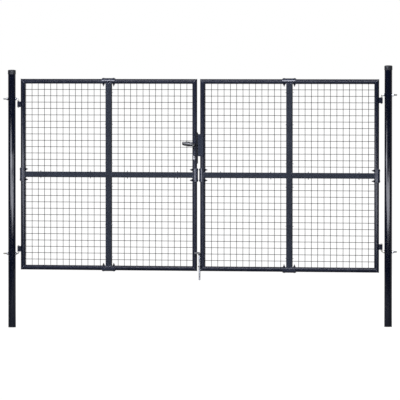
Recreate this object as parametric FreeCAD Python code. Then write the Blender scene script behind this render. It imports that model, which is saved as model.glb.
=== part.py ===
"""Mesh garden gate: two leaves of round tube and welded wire mesh, hung between two posts.

Millimetres, Z up. The origin is the centre of the left post's foot face, X runs to the
right along the gate and the front of the gate faces -Y.
"""
import FreeCAD, Part
import math
import os

Vec = FreeCAD.Vector
UP = Vec(0, 0, 1)
ALONG = Vec(1, 0, 0)
ACROSS = Vec(0, 1, 0)

# Posts
post_diameter = 60.0
post_wall = 2.0
post_tube_length = 2018.0
post_cap_wall = 2.2
post_cap_skirt = 30.0
post_cap_dome = 4.0
post_cap_shoulder = 3.0
post_cap_edge = 1.5
foot_cap_thickness = 4.0
foot_cap_edge = 1.5
foot_plug_length = 18.0
plug_clearance = 0.1
hinge_bolt_above_foot = 582.0

# Leaves
leaf_width = 1415.0
leaf_height = 1500.0
frame_tube_diameter = 38.0
frame_tube_wall = 1.5
post_to_leaf = 42.0
leaf_gap = 24.0
divider_width = 46.0
divider_wall = 1.5
divider_corner = 4.0
middle_rail_width = 44.0

# Welded mesh panels, four to a leaf
mesh_pitch = 50.0
wire_thickness = 3.5
weld_bite = 0.4
wire_overhang = 2.0
mesh_side_lap = 5.5
mesh_end_lap = 8.75

# Saddles over the joints in the middle of rails and stiles
saddle_length = 112.0
saddle_thickness = 7.0
saddle_end_slope = 5.0

# Hinges: hook bolts through the posts, barrels on the leaves
hook_diameter = 12.0
hook_bend_radius = 15.0
hook_tail = 38.0
hook_pin_tip = 6.0
pin_clearance = 0.06
bolt_hole_clearance = 0.5
barrel_length = 44.0
barrel_wall = 3.0
barrel_from_leaf = 19.0
barrel_web = 6.0
barrel_near_end = 163.0
barrel_far_end = 200.0
upper_hook_float = 5.0
running_gap = 0.3
nut_across_flats = 18.0
nut_thickness = 10.0
inner_nut_thickness = 5.0
thread_clearance = 0.15
washer_diameter = 24.0
washer_thickness = 2.5

# Lock, let into the meeting stile of the left leaf
handle_height = 986.0
lock_above_handle = 97.0
lock_below_handle = 146.0
lock_depth = 26.0
lock_behind_axis = 10.0
lock_into_gap = 5.0
lock_edge_chamfer = 1.5
cylinder_drop = 92.0
cylinder_radius = 8.5
cylinder_stem_width = 10.0
cylinder_height = 33.0
cylinder_proud = 10.0
latch_size = 12.0
latch_height = 20.0
latch_rise = 36.0
dead_bolt_height = 30.0
dead_bolt_drop = 50.0
bolt_proud = 1.0
bolt_pocket = 14.0

# Levers on a square spindle
spindle_side = 8.0
spindle_turning_gap = 0.08
hub_diameter = 26.0
lever_reach = 50.0
lever_thickness = 14.0
lever_length = 88.0
lever_edge = 3.0
lever_neck_height = 24.0
lever_neck_rise = 0.8
lever_neck_end = 0.15
lever_bow_height = 32.5
lever_bow_rise = 5.0
lever_bow_at = 0.45
lever_tip_height = 26.0
lever_tip_rise = 12.0

# Keeper channel round the meeting stile of the right leaf
keeper_above_handle = 84.5
keeper_below_handle = 88.5
keeper_thickness = 3.0
keeper_clearance = 5.0
keeper_lap = 27.0
keeper_slot_margin = 2.0

# Drop rod on the right leaf
rod_diameter = 14.0
rod_from_stile = 1.0
rod_forward = 20.0
rod_below_leaf = 71.0
rod_bend_radius = 10.0
rod_handle_length = 45.0
rod_handle_angle = 41.0
guide_heights = (37.0, 130.0)
guide_thickness = 6.0
guide_wall = 5.0

# Sizes that follow
post_radius = post_diameter / 2
tube_radius = frame_tube_diameter / 2
wire_radius = wire_thickness / 2
hook_radius = hook_diameter / 2
rod_radius = rod_diameter / 2
inner_half_width = (leaf_width - 2 * frame_tube_diameter - divider_width) / 2
inner_half_height = (leaf_height - 2 * frame_tube_diameter - middle_rail_width) / 2
mesh_reach_x = inner_half_width / 2 + mesh_side_lap
mesh_reach_z = inner_half_height / 2 + mesh_end_lap
mesh_columns = math.floor(2 * (mesh_reach_x - wire_radius - wire_overhang) / mesh_pitch)
mesh_rows = math.floor(2 * (mesh_reach_z - wire_radius - wire_overhang) / mesh_pitch)
mesh_bearing = mesh_end_lap - wire_overhang
mesh_front = math.sqrt(tube_radius ** 2 - (tube_radius - mesh_bearing) ** 2)
divider_depth = 2 * mesh_front
left_leaf_x = post_radius + post_to_leaf
centre_x = left_leaf_x + leaf_width + leaf_gap / 2
right_post_x = 2 * centre_x
hinge_axis_x = left_leaf_x - barrel_from_leaf
meeting_x = left_leaf_x + leaf_width - tube_radius
lower_pin_z = hinge_bolt_above_foot + hook_bend_radius + running_gap
leaf_z = lower_pin_z + barrel_length / 2 - barrel_near_end
right_post_z = leaf_z + barrel_far_end - barrel_length / 2 - lower_pin_z
barrel_spacing = leaf_height - barrel_near_end - barrel_far_end
handle_z = leaf_z + handle_height
post_length = foot_cap_thickness + post_tube_length
upper_bolt_z = lower_pin_z + barrel_length + barrel_spacing + upper_hook_float + hook_bend_radius


def box(low, high):
    """Block between two opposite corners."""
    size = high - low
    return Part.makeBox(size.x, size.y, size.z, low)


def rod(start, end, radius):
    """Round bar from start to end."""
    run = end - start
    return Part.makeCylinder(radius, run.Length, start, run)


def tube(start, end, radius, wall):
    """Round tube from start to end."""
    return rod(start, end, radius).cut(rod(start, end, radius - wall))


def prism(points, sweep):
    """Flat outline through the points, pushed along sweep."""
    return Part.Face(Part.makePolygon(points + points[:1])).extrude(sweep)


def to_right(shape):
    """The same piece on the other side of the gate's middle plane."""
    return shape.mirror(Vec(centre_x, 0, 0), ALONG)


def save(name, *solids):
    """Write one named piece, of one or several solids."""
    shape = solids[0] if len(solids) == 1 else Part.makeCompound(list(solids))
    for solid in shape.Solids:
        if not solid.isValid() or solid.Volume <= 0:
            raise ValueError("bad solid in " + name)
    shape.exportStep("parts/" + name + ".step")
    print("%-28s %d solids, %9.0f mm3" % (name, len(shape.Solids), shape.Volume))


def post(x, foot_z):
    """Round post tube with the two cross holes for its hinge bolts."""
    base = foot_z + foot_cap_thickness
    body = tube(Vec(x, 0, base), Vec(x, 0, base + post_tube_length), post_radius, post_wall)
    hole = hook_radius + bolt_hole_clearance
    for z in bolt_heights(foot_z):
        body = body.cut(rod(Vec(x - post_diameter, 0, z), Vec(x + post_diameter, 0, z), hole))
    return body


def bolt_heights(foot_z):
    """Heights of the lower and upper hinge bolts of a post that stands at foot_z."""
    return foot_z + hinge_bolt_above_foot, foot_z + upper_bolt_z


def post_cap(x, foot_z):
    """Cap with a skirt outside the tube, a broken edge and a low dome in two slopes."""
    top = foot_z + post_length
    rim = top + post_cap_wall
    skirt_foot = top - post_cap_skirt
    outer = post_radius + post_cap_wall
    crown = outer - post_cap_edge
    outline = [Vec(0, 0, top), Vec(post_radius, 0, top), Vec(post_radius, 0, skirt_foot),
               Vec(outer, 0, skirt_foot), Vec(outer, 0, rim - post_cap_edge), Vec(crown, 0, rim),
               Vec(crown / 2, 0, rim + post_cap_shoulder), Vec(0, 0, rim + post_cap_dome)]
    cap = Part.Face(Part.makePolygon(outline + outline[:1])).revolve(Vec(0, 0, 0), UP, 360)
    return cap.translated(Vec(x, 0, 0))


def foot_cap(x, foot_z):
    """Cap that closes the foot: a disc under the tube with a hollow plug in it."""
    disc = rod(Vec(x, 0, foot_z), Vec(x, 0, foot_z + foot_cap_thickness), post_radius)
    rim = [edge for edge in disc.Edges if edge.BoundBox.ZMax < foot_z + 0.1]
    disc = disc.makeChamfer(foot_cap_edge, rim)
    plug_radius = post_radius - post_wall - plug_clearance
    plug_top = foot_z + foot_cap_thickness + foot_plug_length
    plug = tube(Vec(x, 0, foot_z + foot_cap_thickness), Vec(x, 0, plug_top), plug_radius, post_wall)
    return disc.fuse(plug).removeSplitter()


def hook_bolt(bolt_z, pin_way):
    """Bolt through the left post, bent up or down into the hinge pin of the leaf."""
    bend_x = hinge_axis_x - hook_bend_radius
    bend_z = bolt_z + pin_way * hook_bend_radius
    tip_z = bend_z + pin_way * (barrel_length + pin_reach(pin_way))
    corner = hook_bend_radius * (1 - math.sqrt(0.5))
    path = Part.Wire([
        Part.makeLine(Vec(-post_radius - hook_tail, 0, bolt_z), Vec(bend_x, 0, bolt_z)),
        Part.Arc(Vec(bend_x, 0, bolt_z), Vec(hinge_axis_x - corner, 0, bolt_z + pin_way * corner),
                 Vec(hinge_axis_x, 0, bend_z)).toShape(),
        Part.makeLine(Vec(hinge_axis_x, 0, bend_z), Vec(hinge_axis_x, 0, tip_z)),
    ])
    section = Part.Wire(Part.makeCircle(hook_radius, Vec(-post_radius - hook_tail, 0, bolt_z), ALONG))
    return path.makePipeShell([section], True, True)


def pin_reach(pin_way):
    """How far a pin passes its barrel, with the slack that is left at the bend."""
    slack = running_gap if pin_way > 0 else upper_hook_float
    return hook_pin_tip + slack


def hexagon_nut(face_x, way, thickness, bolt_z):
    """Nut on a hinge bolt, its near face at face_x."""
    corner = nut_across_flats / math.sqrt(3)
    points = [Vec(face_x, corner * math.cos(math.radians(60 * k)),
                  bolt_z + corner * math.sin(math.radians(60 * k))) for k in range(6)]
    nut = prism(points, ALONG * (way * thickness))
    bore = rod(Vec(face_x - thickness, 0, bolt_z), Vec(face_x + thickness, 0, bolt_z),
               hook_radius + thread_clearance)
    return nut.cut(bore)


def washer(face_x, way, bolt_z):
    """Washer on a hinge bolt, its near face at face_x."""
    near = Vec(face_x, 0, bolt_z)
    far = Vec(face_x + way * washer_thickness, 0, bolt_z)
    return tube(near, far, washer_diameter / 2, washer_diameter / 2 - hook_radius - thread_clearance)


def hinge_nuts():
    """Nuts and washers of the left post: thick nuts on the tails, thin ones before the bends."""
    pieces = []
    for bolt_z in bolt_heights(0):
        for way, thickness in ((-1, nut_thickness), (1, inner_nut_thickness)):
            pieces.append(washer(way * post_radius, way, bolt_z))
            pieces.append(hexagon_nut(way * (post_radius + washer_thickness), way, thickness, bolt_z))
    return pieces


def mitred_tube(axis_start, axis_end, outline):
    """Frame tube whose ends are cut to the outline seen from the front."""
    body = tube(axis_start, axis_end, tube_radius, frame_tube_wall)
    points = [Vec(x, -frame_tube_diameter, z) for x, z in outline]
    return body.common(prism(points, ACROSS * (2 * frame_tube_diameter)))


def frame_stile(at_hinge):
    """Upright of the left leaf, mitred at both ends."""
    outer = left_leaf_x if at_hinge else left_leaf_x + leaf_width
    inward = frame_tube_diameter if at_hinge else -frame_tube_diameter
    axis_x = outer + inward / 2
    outline = [(outer, leaf_z), (outer + inward, leaf_z + frame_tube_diameter),
               (outer + inward, leaf_z + leaf_height - frame_tube_diameter),
               (outer, leaf_z + leaf_height)]
    return mitred_tube(Vec(axis_x, 0, leaf_z), Vec(axis_x, 0, leaf_z + leaf_height), outline)


def frame_rail(at_top):
    """Top or bottom rail of the left leaf, mitred at both ends."""
    outer = leaf_z + leaf_height if at_top else leaf_z
    inward = -frame_tube_diameter if at_top else frame_tube_diameter
    axis_z = outer + inward / 2
    right = left_leaf_x + leaf_width
    outline = [(left_leaf_x, outer), (left_leaf_x + frame_tube_diameter, outer + inward),
               (right - frame_tube_diameter, outer + inward), (right, outer)]
    return mitred_tube(Vec(left_leaf_x, 0, axis_z), Vec(right, 0, axis_z), outline)


def flat_tube(low, high, run):
    """Rectangular tube with rounded corners, filling the block and open along run."""
    solid = box(low, high)
    along = [edge for edge in solid.Edges if edge.tangentAt(edge.FirstParameter).cross(run).Length < 1e-6]
    outer = solid.makeFillet(divider_corner, along)
    wall = Vec(divider_wall, divider_wall, divider_wall)
    margin = Vec(abs(run.x), abs(run.y), abs(run.z)) * divider_wall
    inner = box(low + wall - margin, high - wall + margin)
    along = [edge for edge in inner.Edges if edge.tangentAt(edge.FirstParameter).cross(run).Length < 1e-6]
    return outer.cut(inner.makeFillet(divider_corner - divider_wall, along))


def divider():
    """Upright in the middle of the left leaf, notched to sit on both rails."""
    x = left_leaf_x + leaf_width / 2
    bottom = leaf_z + tube_radius
    top = leaf_z + leaf_height - tube_radius
    body = flat_tube(Vec(x - divider_width / 2, -divider_depth / 2, bottom),
                     Vec(x + divider_width / 2, divider_depth / 2, top), UP)
    for z in (bottom, top):
        body = body.cut(rod(Vec(x - divider_width, 0, z), Vec(x + divider_width, 0, z), tube_radius))
    return body


def middle_rail():
    """Middle rail of the left leaf, in two lengths between the stiles and the divider."""
    z = leaf_z + leaf_height / 2
    divider_x = left_leaf_x + leaf_width / 2
    spans = ((left_leaf_x + tube_radius, divider_x - divider_width / 2, left_leaf_x + tube_radius),
             (divider_x + divider_width / 2, meeting_x, meeting_x))
    lengths = []
    for start, end, stile_x in spans:
        body = flat_tube(Vec(start, -divider_depth / 2, z - middle_rail_width / 2),
                         Vec(end, divider_depth / 2, z + middle_rail_width / 2), ALONG)
        low = Vec(stile_x, 0, z - middle_rail_width)
        high = Vec(stile_x, 0, z + middle_rail_width)
        stile = rod(low, high, tube_radius)
        lengths.append(body.cut(stile))
    return lengths


def frame_saddle(centre, along, outward):
    """Half sleeve with sloped ends, bolted over a joint in the frame."""
    base = saddle_length / 2
    crown = base - saddle_end_slope
    profile = ((-base, tube_radius), (-crown, tube_radius + saddle_thickness),
               (crown, tube_radius + saddle_thickness), (base, tube_radius))
    points = [centre + along * reach - ACROSS * radius for reach, radius in profile]
    half = Part.Face(Part.makePolygon(points + points[:1]))
    turn = (ACROSS * -1).dot(outward.cross(along))
    return half.revolve(centre, along, 180 * turn)


def frame_saddles():
    """Saddles of the left leaf, outside the ends of its divider and of its middle rail."""
    x = left_leaf_x + leaf_width / 2
    z = leaf_z + leaf_height / 2
    return [frame_saddle(Vec(x, 0, leaf_z + leaf_height - tube_radius), ALONG, UP),
            frame_saddle(Vec(x, 0, leaf_z + tube_radius), ALONG, UP * -1),
            frame_saddle(Vec(left_leaf_x + tube_radius, 0, z), UP, ALONG * -1),
            frame_saddle(Vec(meeting_x, 0, z), UP, ALONG)]


def hinge_barrels(lower_height, upper_height):
    """Two bored barrels, each on a short web welded to the hinge stile."""
    outer = hook_radius + pin_clearance + barrel_wall
    stile_x = left_leaf_x + tube_radius
    barrels = []
    for height in (lower_height, upper_height):
        low = leaf_z + height - barrel_length / 2
        high = low + barrel_length
        barrel = rod(Vec(hinge_axis_x, 0, low), Vec(hinge_axis_x, 0, high), outer)
        web = box(Vec(hinge_axis_x, -barrel_web / 2, low), Vec(stile_x, barrel_web / 2, high))
        bore = rod(Vec(hinge_axis_x, 0, low), Vec(hinge_axis_x, 0, high), hook_radius + pin_clearance)
        stile = rod(Vec(stile_x, 0, low), Vec(stile_x, 0, high), tube_radius)
        barrels.append(barrel.fuse(web).cut(bore).cut(stile).removeSplitter())
    return barrels


def mesh_panel():
    """One welded panel with its centre at x = 0, z = 0: level wires, upright wires behind."""
    half_width = mesh_columns * mesh_pitch / 2
    half_height = mesh_rows * mesh_pitch / 2
    level_back = mesh_front + wire_thickness
    upright_front = level_back - weld_bite
    level_wires = []
    for row in range(mesh_rows + 1):
        z = row * mesh_pitch - half_height
        level_wires.append(box(Vec(-mesh_reach_x, mesh_front, z - wire_radius),
                               Vec(mesh_reach_x, level_back, z + wire_radius)))
    upright_wires = []
    for column in range(mesh_columns + 1):
        x = column * mesh_pitch - half_width
        upright_wires.append(box(Vec(x - wire_radius, upright_front, -mesh_reach_z),
                                 Vec(x + wire_radius, upright_front + wire_thickness, mesh_reach_z)))
    return level_wires[0].multiFuse(level_wires[1:] + upright_wires)


def placed_panel(panel, left_half, top_half):
    """The panel in one quarter of the left leaf."""
    step_x = (divider_width + inner_half_width) / 2
    step_z = (middle_rail_width + inner_half_height) / 2
    x = left_leaf_x + leaf_width / 2 + (-step_x if left_half else step_x)
    z = leaf_z + leaf_height / 2 + (step_z if top_half else -step_z)
    return panel.translated(Vec(x, 0, z))


def cylinder_lock(length_y):
    """Key cylinder of the usual keyhole section, centred on the leaf."""
    z = handle_z - cylinder_drop
    stem_half = cylinder_stem_width / 2
    front = Vec(meeting_x, -length_y / 2, z)
    barrel = rod(front, front + ACROSS * length_y, cylinder_radius)
    stem_z = z + cylinder_radius - cylinder_height + stem_half
    stem_low = Vec(meeting_x - stem_half, -length_y / 2, stem_z)
    stem = box(stem_low, Vec(meeting_x + stem_half, length_y / 2, z))
    heel = Vec(meeting_x, -length_y / 2, stem_z)
    return barrel.fuse([stem, rod(heel, heel + ACROSS * length_y, stem_half)]).removeSplitter()


def lock_bolt(centre_z, height, proud):
    """Latch or dead bolt, drawn back to just past the face of the lock."""
    face = left_leaf_x + leaf_width + lock_into_gap
    return box(Vec(face - bolt_pocket, -latch_size / 2, centre_z - height / 2),
               Vec(face + proud, latch_size / 2, centre_z + height / 2))


def lock_case():
    """Narrow lock body with pockets for its bolts and holes for spindle and cylinder."""
    face = left_leaf_x + leaf_width + lock_into_gap
    body = box(Vec(meeting_x - lock_behind_axis, -lock_depth / 2, handle_z - lock_below_handle),
               Vec(face, lock_depth / 2, handle_z + lock_above_handle))
    front_edges = [edge for edge in body.Edges if edge.BoundBox.XMin > face - 0.1]
    body = body.makeChamfer(lock_edge_chamfer, front_edges)
    body = body.cut(lock_bolt(handle_z + latch_rise, latch_height, bolt_proud))
    body = body.cut(lock_bolt(handle_z - dead_bolt_drop, dead_bolt_height, bolt_proud))
    spindle_hole = spindle_side / math.sqrt(2) + spindle_turning_gap
    front = Vec(meeting_x, -lock_depth, handle_z)
    body = body.cut(rod(front, front + ACROSS * (2 * lock_depth), spindle_hole))
    return body.cut(cylinder_lock(2 * lock_depth))


def lock_stile():
    """Meeting stile of the left leaf, cut out for lock, spindle and cylinder."""
    body = frame_stile(False)
    body = body.cut(box(Vec(meeting_x, -lock_depth / 2, handle_z - lock_below_handle),
                        Vec(meeting_x + frame_tube_diameter, lock_depth / 2, handle_z + lock_above_handle)))
    front = Vec(meeting_x, -frame_tube_diameter, handle_z)
    spindle_hole = spindle_side / math.sqrt(2) + spindle_turning_gap
    body = body.cut(rod(front, front + ACROSS * (2 * frame_tube_diameter), spindle_hole))
    return body.cut(cylinder_lock(2 * frame_tube_diameter))


def lever_outline(y):
    """Bowed outline of the lever from its hub to the tip, in the plane at y."""
    def edge_points(along, height, rise):
        x = meeting_x - lever_length * along
        middle = handle_z + rise
        return Vec(x, y, middle + height / 2), Vec(x, y, middle - height / 2)

    hub_top, hub_foot = edge_points(0, lever_neck_height, lever_neck_rise)
    neck_top, neck_foot = edge_points(lever_neck_end, lever_neck_height, lever_neck_rise)
    bow_top, bow_foot = edge_points(lever_bow_at, lever_bow_height, lever_bow_rise)
    tip_top, tip_foot = edge_points(1, lever_tip_height, lever_tip_rise)
    return Part.Wire([
        Part.makeLine(hub_top, neck_top),
        Part.Arc(neck_top, bow_top, tip_top).toShape(),
        Part.makeLine(tip_top, tip_foot),
        Part.Arc(tip_foot, bow_foot, neck_foot).toShape(),
        Part.makeLine(neck_foot, hub_foot),
        Part.makeLine(hub_foot, hub_top),
    ])


def lever(way):
    """Lever handle on the front (-1) or back (+1) of the lock."""
    near = way * (tube_radius + running_gap)
    inner = way * (tube_radius + lever_reach - lever_thickness)
    outer = way * (tube_radius + lever_reach)
    grip = Part.Face(lever_outline(inner)).extrude(ACROSS * (way * lever_thickness))
    soft_edges = [edge for edge in grip.Edges if edge.BoundBox.XMin < meeting_x - 0.1]
    grip = grip.makeChamfer(lever_edge, soft_edges)
    hub = rod(Vec(meeting_x, near, handle_z), Vec(meeting_x, outer, handle_z), hub_diameter / 2)
    half = spindle_side / 2
    socket = box(Vec(meeting_x - half, -tube_radius - lever_reach / 2, handle_z - half),
                 Vec(meeting_x + half, tube_radius + lever_reach / 2, handle_z + half))
    return hub.fuse(grip).removeSplitter().cut(socket)


def spindle():
    """Square spindle through the lock, into both levers."""
    half = spindle_side / 2
    reach = tube_radius + lever_reach / 2
    return box(Vec(meeting_x - half, -reach, handle_z - half), Vec(meeting_x + half, reach, handle_z + half))


def keeper():
    """Channel round the meeting stile of the right leaf, slotted for the bolts."""
    face = left_leaf_x + leaf_width + lock_into_gap + keeper_clearance
    far = left_leaf_x + leaf_width + leaf_gap + keeper_lap
    outer = tube_radius + keeper_thickness
    low = handle_z - keeper_below_handle
    high = handle_z + keeper_above_handle
    channel = box(Vec(face, -outer, low), Vec(far, outer, high))
    channel = channel.cut(box(Vec(face + keeper_thickness, -tube_radius, low), Vec(far, tube_radius, high)))
    half = latch_size / 2 + keeper_slot_margin
    latch = (handle_z + latch_rise, latch_height)
    dead_bolt = (handle_z - dead_bolt_drop, dead_bolt_height)
    for centre_z, height in (latch, dead_bolt):
        reach = height / 2 + keeper_slot_margin
        channel = channel.cut(box(Vec(face, -half, centre_z - reach),
                                  Vec(face + keeper_thickness, half, centre_z + reach)))
    return channel


def rod_place():
    """Axis of the drop rod on the level of the leaf's foot."""
    return Vec(2 * centre_x - left_leaf_x - leaf_width - rod_from_stile, -rod_forward, leaf_z)


def rod_guides():
    """Two bored lugs welded to the meeting stile of the right leaf."""
    axis = rod_place()
    stile_x = 2 * centre_x - meeting_x
    ring = rod_radius + pin_clearance + guide_wall
    guides = []
    for height in guide_heights:
        low = axis + UP * (height - guide_thickness / 2)
        high = low + UP * guide_thickness
        side = Vec(stile_x - axis.x, -axis.y, 0)
        arm_side = Vec(-side.y, side.x, 0).normalize() * ring
        corners = [low + arm_side, low - arm_side, low - arm_side + side, low + arm_side + side]
        lug = rod(low, high, ring).fuse(prism(corners, UP * guide_thickness))
        stile = rod(Vec(stile_x, 0, low.z), Vec(stile_x, 0, high.z), tube_radius)
        lug = lug.cut(stile).cut(rod(low, high, rod_radius + pin_clearance))
        guides.append(max(lug.Solids, key=lambda solid: solid.Volume).removeSplitter())
    return guides


def drop_rod():
    """Rod that drops into the ground, its top bent over into a handle."""
    axis = rod_place()
    turn = math.radians(rod_handle_angle)
    out = Vec(-math.cos(turn), -math.sin(turn), 0)
    foot = axis - UP * rod_below_leaf
    bend_start = axis + UP * (guide_heights[-1] + guide_thickness / 2 + running_gap)
    corner = rod_bend_radius * (1 - math.sqrt(0.5))
    bend_middle = bend_start + UP * (rod_bend_radius - corner) + out * corner
    bend_end = bend_start + UP * rod_bend_radius + out * rod_bend_radius
    path = Part.Wire([
        Part.makeLine(foot, bend_start),
        Part.Arc(bend_start, bend_middle, bend_end).toShape(),
        Part.makeLine(bend_end, bend_end + out * (rod_handle_length - rod_bend_radius)),
    ])
    body = path.makePipeShell([Part.Wire(Part.makeCircle(rod_radius, foot, UP))], True, True)
    return body


def build_posts():
    """Both posts with their caps, hinge bolts and nuts."""
    shift = UP * right_post_z
    save("left_post", post(0, 0))
    save("right_post", to_right(post(0, 0)).translated(shift))
    save("left_post_cap", post_cap(0, 0))
    save("right_post_cap", to_right(post_cap(0, 0)).translated(shift))
    save("left_post_foot", foot_cap(0, 0))
    save("right_post_foot", to_right(foot_cap(0, 0)).translated(shift))
    lower_z, upper_z = bolt_heights(0)
    hooks = {"lower": hook_bolt(lower_z, 1), "upper": hook_bolt(upper_z, -1)}
    for level, hook in hooks.items():
        save("left_%s_hinge_hook" % level, hook)
        save("right_%s_hinge_hook" % level, to_right(hook).translated(shift))
    nuts = hinge_nuts()
    save("left_hinge_nuts", *nuts)
    save("right_hinge_nuts", *[to_right(nut).translated(shift) for nut in nuts])


def build_leaf(side, place, barrel_heights):
    """Frame, dividers, saddles, barrels and mesh of one leaf."""
    save(side + "_hinge_stile", place(frame_stile(True)))
    save(side + "_top_rail", place(frame_rail(True)))
    save(side + "_bottom_rail", place(frame_rail(False)))
    save(side + "_divider", place(divider()))
    save(side + "_middle_rail", *[place(length) for length in middle_rail()])
    save(side + "_frame_saddles", *[place(saddle) for saddle in frame_saddles()])
    save(side + "_hinge_barrels", *[place(barrel) for barrel in hinge_barrels(*barrel_heights)])
    panel = mesh_panel()
    for top_half, level in ((True, "upper"), (False, "lower")):
        for left_half, part in ((True, "hinge_side"), (False, "meeting_side")):
            save("%s_%s_%s_mesh" % (side, level, part), place(placed_panel(panel, left_half, top_half)))


def build_lock():
    """Lock, levers and bolts on the left leaf."""
    save("left_lock_stile", lock_stile())
    save("lock_case", lock_case())
    save("lock_bolts", lock_bolt(handle_z + latch_rise, latch_height, bolt_proud),
         lock_bolt(handle_z - dead_bolt_drop, dead_bolt_height, bolt_proud))
    save("lock_cylinder", cylinder_lock(frame_tube_diameter + 2 * cylinder_proud))
    save("front_lever", lever(-1))
    save("back_lever", lever(1))
    save("lever_spindle", spindle())


def build_keeper_side():
    """Meeting stile, keeper and drop rod of the right leaf."""
    save("right_meeting_stile", to_right(frame_stile(False)))
    save("lock_keeper", keeper())
    save("drop_rod_guides", *rod_guides())
    save("drop_rod", drop_rod())


os.makedirs("parts", exist_ok=True)
build_posts()
build_leaf("left", lambda shape: shape, (barrel_near_end, leaf_height - barrel_far_end))
build_leaf("right", to_right, (barrel_far_end, leaf_height - barrel_near_end))
build_lock()
build_keeper_side()
print("leaf foot %.1f, right post foot %.1f, post to post %.1f" % (leaf_z, right_post_z, right_post_x))
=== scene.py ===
# %% [markdown]
# # A mesh garden gate, dressed
# The real gate is two welded leaves of powder-coated tube, hung on hook bolts between two round
# posts. The solids come from the packed frame and stay where they are. This lesson gives every one
# of them its finish, and builds the things that are too fine for solids: round mesh wire, weld
# beads, screw threads, bolts, clips and the moulded levers and caps.

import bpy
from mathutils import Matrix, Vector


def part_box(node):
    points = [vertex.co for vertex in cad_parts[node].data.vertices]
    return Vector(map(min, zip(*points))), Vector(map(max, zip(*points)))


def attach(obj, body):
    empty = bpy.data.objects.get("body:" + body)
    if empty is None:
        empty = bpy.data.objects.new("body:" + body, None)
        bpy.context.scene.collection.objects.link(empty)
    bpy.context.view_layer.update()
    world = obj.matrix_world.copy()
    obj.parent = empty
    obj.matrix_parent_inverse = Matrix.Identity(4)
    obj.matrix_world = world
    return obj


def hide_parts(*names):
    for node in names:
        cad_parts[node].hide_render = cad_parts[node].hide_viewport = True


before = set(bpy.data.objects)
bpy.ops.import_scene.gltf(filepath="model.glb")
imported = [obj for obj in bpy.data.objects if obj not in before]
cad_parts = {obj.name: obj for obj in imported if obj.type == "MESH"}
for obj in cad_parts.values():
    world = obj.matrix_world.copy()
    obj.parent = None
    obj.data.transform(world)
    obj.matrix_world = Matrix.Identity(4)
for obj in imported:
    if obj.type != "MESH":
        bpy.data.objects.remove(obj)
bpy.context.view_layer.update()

# %% [markdown]
# ## Units, directions and colours
# Blender measures in metres and a maker in millimetres, so MM turns one into the other. Colours are
# written as they look on a screen, and raised to a power of 2.2 for shaders, which reckon with light
# itself. Without that step every dark coat comes out too pale.

# %% Tools of the trade
import math
import random

import bmesh
import bpy
from mathutils import Vector

MM = 0.001
UP = Vector((0, 0, 1))
RIGHT = Vector((1, 0, 0))
BACK = Vector((0, 1, 0))
TURN = 2 * math.pi
SCREEN_POWER = 2.2


def middle(node):
    """Centre of a node's box."""
    low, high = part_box(node)
    return (low + high) / 2


def half(node):
    """Half the size of a node's box."""
    low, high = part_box(node)
    return (high - low) / 2


def from_srgb(red, green, blue):
    """A colour written as it looks on a screen, 0 to 255, as the linear numbers that shaders use."""
    return tuple(round((c / 255) ** SCREEN_POWER, 4) for c in (red, green, blue)) + (1,)


print("anthracite coat in shader numbers:", from_srgb(42, 46, 56))

# %% [markdown]
# ## Shader sums as plain Python
# A finish is a sum of small things: a base colour, dust, a fine bump. In the node editor each plus
# and times is a box with wires, which is hard to read. The small class below wraps a socket, so that
# `base * 0.5 + dust` adds those boxes by itself. Numbers go through Math nodes, while colours and
# vectors go through Mix and Vector Math nodes, since a Math node would turn a colour grey.

# %% A socket that can be added and multiplied
class Value:
    """A node's output socket, with Python's operators."""

    def __init__(self, finish, socket):
        self.finish, self.socket = finish, socket

    def _is_vector(self):
        return self.socket.type in ("VECTOR", "RGBA")

    def _sum(self, operation, first, second):
        vector = any(isinstance(v, Value) and v._is_vector() for v in (first, second))
        kind = "ShaderNodeVectorMath" if vector else "ShaderNodeMath"
        pair = [(v,) * 3 if vector and isinstance(v, (int, float)) else v for v in (first, second)]
        return self.finish.node(kind, {"operation": operation}, {0: pair[0], 1: pair[1]})

    def __add__(self, other):
        return self._sum("ADD", self, other)

    def __radd__(self, other):
        return self._sum("ADD", other, self)

    def __sub__(self, other):
        return self._sum("SUBTRACT", self, other)

    def __rsub__(self, other):
        return self._sum("SUBTRACT", other, self)

    def __mul__(self, other):
        return self._sum("MULTIPLY", self, other)

    def __rmul__(self, other):
        return self._sum("MULTIPLY", other, self)

    def __truediv__(self, other):
        return self._sum("DIVIDE", self, other)

    def __rtruediv__(self, other):
        return self._sum("DIVIDE", other, self)

    def clamped(self):
        """Between 0 and 1."""
        return self.finish.node("ShaderNodeClamp", {}, {"Value": self})

    def ramp(self, start, end):
        """A slope from one (place, value) stop to another, level outside them."""
        return self.finish.node("ShaderNodeValToRGB", {"stops": (start, end)}, {"Fac": self})

    def pick(self, low, high):
        """The colour low where this is 0, and high where it is 1."""
        return self.finish.node("ShaderNodeMix", {"data_type": "RGBA"}, {0: self, 6: low, 7: high}, out=2)


print("besides sums, a socket has:", ", ".join(n for n in vars(Value) if not n.startswith("_")))

# %% [markdown]
# ## One method for all nodes
# A material is a tree of nodes, and Blender's own calls take three lines for each: make it, set it,
# link it. One method does all three from a node's type, its settings and its sockets. The helpers
# under it make what nearly every finish needs, such as noise sized in millimetres.

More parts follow.
